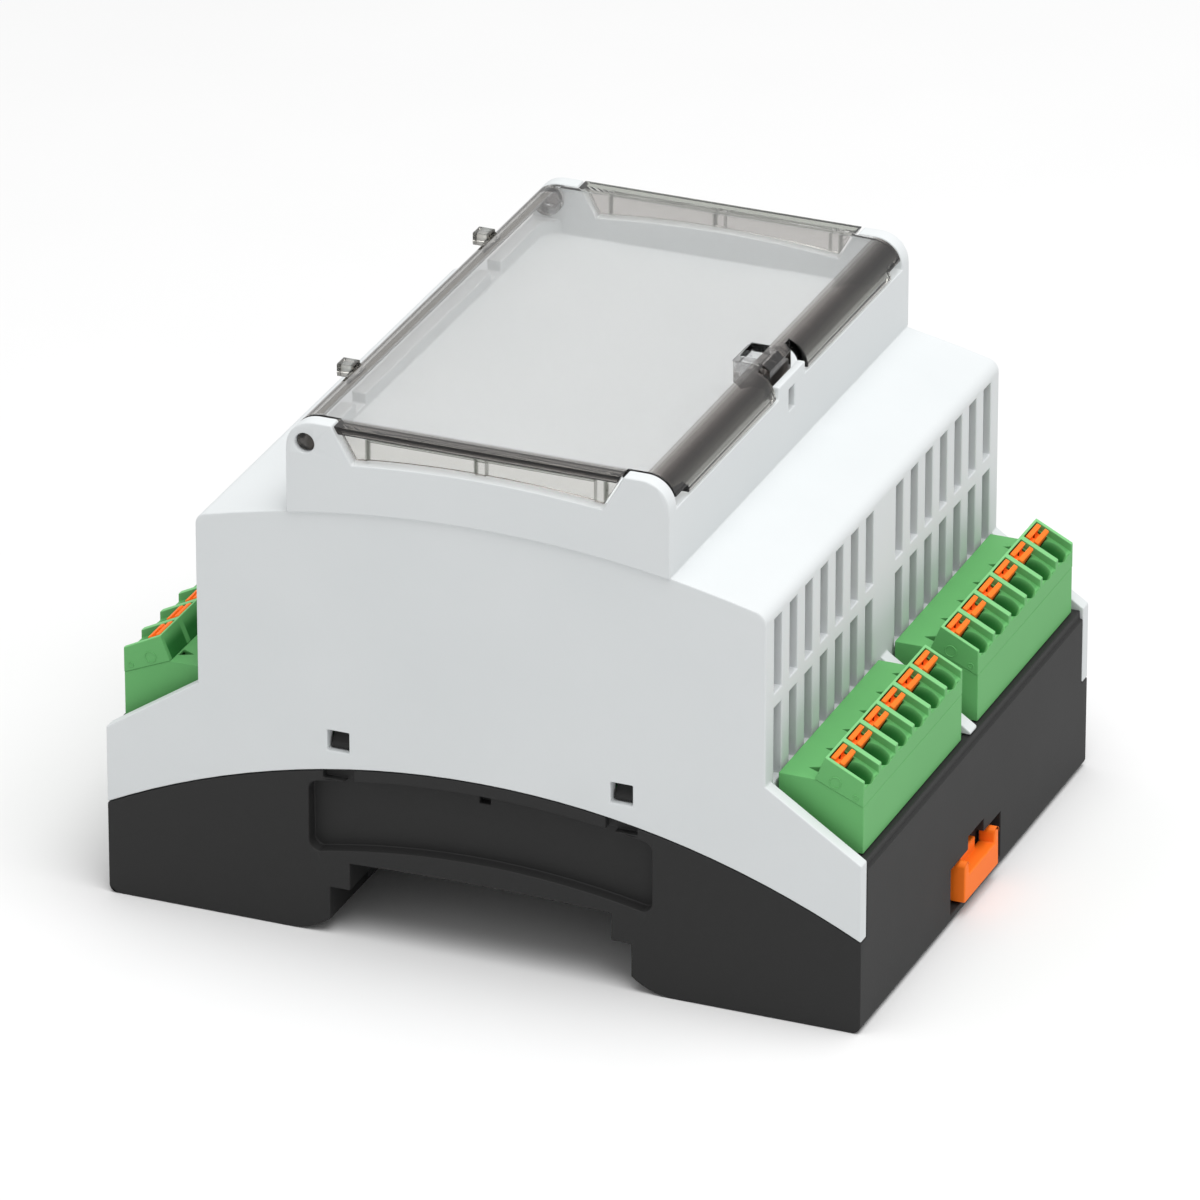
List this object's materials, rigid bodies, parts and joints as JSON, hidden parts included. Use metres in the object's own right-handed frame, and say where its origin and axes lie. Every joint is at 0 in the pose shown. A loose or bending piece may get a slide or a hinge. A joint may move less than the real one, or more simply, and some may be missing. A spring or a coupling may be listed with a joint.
{
  "type": "din rail enclosure",
  "caption": "Rail-mounted electronics enclosure with a black clip-on base, vented grey body, hinged smoky cover and push-in terminal blocks.",
  "frame": {"origin": "middle of the footprint, at the height of the feet", "axes": "+X across the rail towards the foot latch, +Y along the rail, +Z away from the mounting surface towards the cover"},
  "size_m": [0.0904, 0.0716, 0.0622],
  "materials": {
    "upper_grey": "fine matt moulded texture",
    "base_black": "fine matt moulded texture",
    "cover_clear": "clear smoky gloss",
    "latch_orange": "satin",
    "button_orange": "satin",
    "terminal_green": "satin",
    "board_green": "solder mask",
    "contact_metal": "tin-plated"
  },
  "bodies": {
    "housing": {"housing_base": "base_black", "upper_housing": "upper_grey", "circuit_board": "board_green", "terminal_body_right_front": "terminal_green", "terminal_cap_right_front": "terminal_green", "contact_set_right_front": "contact_metal", "terminal_body_right_rear": "terminal_green", "terminal_cap_right_rear": "terminal_green", "contact_set_right_rear": "contact_metal", "terminal_body_left_front": "terminal_green", "terminal_cap_left_front": "terminal_green", "contact_set_left_front": "contact_metal", "terminal_body_left_rear": "terminal_green", "terminal_cap_left_rear": "terminal_green", "contact_set_left_rear": "contact_metal"},
    "cover": {"hinged_cover": "cover_clear"},
    "latch": {"foot_latch": "latch_orange"},
    "push_button_right_front_1": {"push_button_right_front_1": "button_orange"},
    "push_button_right_front_2": {"push_button_right_front_2": "button_orange"},
    "push_button_right_front_3": {"push_button_right_front_3": "button_orange"},
    "push_button_right_front_4": {"push_button_right_front_4": "button_orange"},
    "push_button_right_front_5": {"push_button_right_front_5": "button_orange"},
    "push_button_right_front_6": {"push_button_right_front_6": "button_orange"},
    "push_button_right_rear_1": {"push_button_right_rear_1": "button_orange"},
    "push_button_right_rear_2": {"push_button_right_rear_2": "button_orange"},
    "push_button_right_rear_3": {"push_button_right_rear_3": "button_orange"},
    "push_button_right_rear_4": {"push_button_right_rear_4": "button_orange"},
    "push_button_right_rear_5": {"push_button_right_rear_5": "button_orange"},
    "push_button_right_rear_6": {"push_button_right_rear_6": "button_orange"},
    "push_button_left_front_1": {"push_button_left_front_1": "button_orange"},
    "push_button_left_front_2": {"push_button_left_front_2": "button_orange"},
    "push_button_left_front_3": {"push_button_left_front_3": "button_orange"},
    "push_button_left_front_4": {"push_button_left_front_4": "button_orange"},
    "push_button_left_front_5": {"push_button_left_front_5": "button_orange"},
    "push_button_left_front_6": {"push_button_left_front_6": "button_orange"},
    "push_button_left_rear_1": {"push_button_left_rear_1": "button_orange"},
    "push_button_left_rear_2": {"push_button_left_rear_2": "button_orange"},
    "push_button_left_rear_3": {"push_button_left_rear_3": "button_orange"},
    "push_button_left_rear_4": {"push_button_left_rear_4": "button_orange"},
    "push_button_left_rear_5": {"push_button_left_rear_5": "button_orange"},
    "push_button_left_rear_6": {"push_button_left_rear_6": "button_orange"}
  },
  "joints": [
    {"name": "cover_hinge", "type": "hinge", "parent": "housing", "child": "cover", "pos_m": [-0.0203, 0, 0.0596], "axis": [0, -1, 0], "range_deg": [0, 100]},
    {"name": "latch_slide", "type": "slide", "parent": "housing", "child": "latch", "axis": [1, 0, 0], "range_m": [0, 0.0025], "stiffness_N_per_m": 3000},
    {"name": "press_right_front_1", "type": "slide", "parent": "housing", "child": "push_button_right_front_1", "axis": [-0.4512, 0, -0.8924], "range_m": [0, 0.0013], "stiffness_N_per_m": 300},
    {"name": "press_right_front_2", "type": "slide", "parent": "housing", "child": "push_button_right_front_2", "axis": [-0.4512, 0, -0.8924], "range_m": [0, 0.0013], "stiffness_N_per_m": 300},
    {"name": "press_right_front_3", "type": "slide", "parent": "housing", "child": "push_button_right_front_3", "axis": [-0.4512, 0, -0.8924], "range_m": [0, 0.0013], "stiffness_N_per_m": 300},
    {"name": "press_right_front_4", "type": "slide", "parent": "housing", "child": "push_button_right_front_4", "axis": [-0.4512, 0, -0.8924], "range_m": [0, 0.0013], "stiffness_N_per_m": 300},
    {"name": "press_right_front_5", "type": "slide", "parent": "housing", "child": "push_button_right_front_5", "axis": [-0.4512, 0, -0.8924], "range_m": [0, 0.0013], "stiffness_N_per_m": 300},
    {"name": "press_right_front_6", "type": "slide", "parent": "housing", "child": "push_button_right_front_6", "axis": [-0.4512, 0, -0.8924], "range_m": [0, 0.0013], "stiffness_N_per_m": 300},
    {"name": "press_right_rear_1", "type": "slide", "parent": "housing", "child": "push_button_right_rear_1", "axis": [-0.4512, 0, -0.8924], "range_m": [0, 0.0013], "stiffness_N_per_m": 300},
    {"name": "press_right_rear_2", "type": "slide", "parent": "housing", "child": "push_button_right_rear_2", "axis": [-0.4512, 0, -0.8924], "range_m": [0, 0.0013], "stiffness_N_per_m": 300},
    {"name": "press_right_rear_3", "type": "slide", "parent": "housing", "child": "push_button_right_rear_3", "axis": [-0.4512, 0, -0.8924], "range_m": [0, 0.0013], "stiffness_N_per_m": 300},
    {"name": "press_right_rear_4", "type": "slide", "parent": "housing", "child": "push_button_right_rear_4", "axis": [-0.4512, 0, -0.8924], "range_m": [0, 0.0013], "stiffness_N_per_m": 300},
    {"name": "press_right_rear_5", "type": "slide", "parent": "housing", "child": "push_button_right_rear_5", "axis": [-0.4512, 0, -0.8924], "range_m": [0, 0.0013], "stiffness_N_per_m": 300},
    {"name": "press_right_rear_6", "type": "slide", "parent": "housing", "child": "push_button_right_rear_6", "axis": [-0.4512, 0, -0.8924], "range_m": [0, 0.0013], "stiffness_N_per_m": 300},
    {"name": "press_left_front_1", "type": "slide", "parent": "housing", "child": "push_button_left_front_1", "axis": [0.4512, 0, -0.8924], "range_m": [0, 0.0013], "stiffness_N_per_m": 300},
    {"name": "press_left_front_2", "type": "slide", "parent": "housing", "child": "push_button_left_front_2", "axis": [0.4512, 0, -0.8924], "range_m": [0, 0.0013], "stiffness_N_per_m": 300},
    {"name": "press_left_front_3", "type": "slide", "parent": "housing", "child": "push_button_left_front_3", "axis": [0.4512, 0, -0.8924], "range_m": [0, 0.0013], "stiffness_N_per_m": 300},
    {"name": "press_left_front_4", "type": "slide", "parent": "housing", "child": "push_button_left_front_4", "axis": [0.4512, 0, -0.8924], "range_m": [0, 0.0013], "stiffness_N_per_m": 300},
    {"name": "press_left_front_5", "type": "slide", "parent": "housing", "child": "push_button_left_front_5", "axis": [0.4512, 0, -0.8924], "range_m": [0, 0.0013], "stiffness_N_per_m": 300},
    {"name": "press_left_front_6", "type": "slide", "parent": "housing", "child": "push_button_left_front_6", "axis": [0.4512, 0, -0.8924], "range_m": [0, 0.0013], "stiffness_N_per_m": 300},
    {"name": "press_left_rear_1", "type": "slide", "parent": "housing", "child": "push_button_left_rear_1", "axis": [0.4512, 0, -0.8924], "range_m": [0, 0.0013], "stiffness_N_per_m": 300},
    {"name": "press_left_rear_2", "type": "slide", "parent": "housing", "child": "push_button_left_rear_2", "axis": [0.4512, 0, -0.8924], "range_m": [0, 0.0013], "stiffness_N_per_m": 300},
    {"name": "press_left_rear_3", "type": "slide", "parent": "housing", "child": "push_button_left_rear_3", "axis": [0.4512, 0, -0.8924], "range_m": [0, 0.0013], "stiffness_N_per_m": 300},
    {"name": "press_left_rear_4", "type": "slide", "parent": "housing", "child": "push_button_left_rear_4", "axis": [0.4512, 0, -0.8924], "range_m": [0, 0.0013], "stiffness_N_per_m": 300},
    {"name": "press_left_rear_5", "type": "slide", "parent": "housing", "child": "push_button_left_rear_5", "axis": [0.4512, 0, -0.8924], "range_m": [0, 0.0013], "stiffness_N_per_m": 300},
    {"name": "press_left_rear_6", "type": "slide", "parent": "housing", "child": "push_button_left_rear_6", "axis": [0.4512, 0, -0.8924], "range_m": [0, 0.0013], "stiffness_N_per_m": 300}
  ]
}
